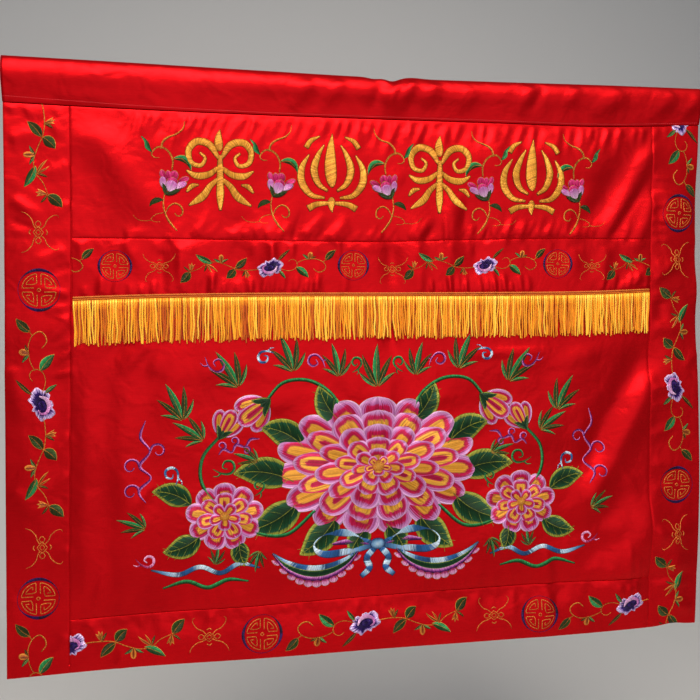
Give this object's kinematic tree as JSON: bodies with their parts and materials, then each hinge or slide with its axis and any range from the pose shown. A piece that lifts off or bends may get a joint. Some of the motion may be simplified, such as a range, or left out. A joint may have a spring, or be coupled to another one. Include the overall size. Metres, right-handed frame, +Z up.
{
  "type": "altar frontal",
  "caption": "Hanging cloth of red satin with a rod sleeve, pieced borders, embroidered ornaments and a gold fringe across.",
  "frame": {"origin": "middle of the top edge of the rod sleeve", "axes": "+X along the top edge to the right as seen from the front, +Y out of the back, +Z up"},
  "size_m": [1.0102, 0.03, 0.8319],
  "materials": {
    "satin": "glossy satin weave",
    "fringe_thread": "shiny twisted thread",
    "gold_thread": "satin stitch",
    "silk_thread": "satin stitch"
  },
  "bodies": {
    "root": {"heading_sleeve": "satin", "left_border": "satin", "right_border": "satin", "upper_panel": "satin", "upper_strip": "satin", "main_panel": "satin", "lower_strip": "satin", "fringe": "fringe_thread"}
  },
  "joints": []
}
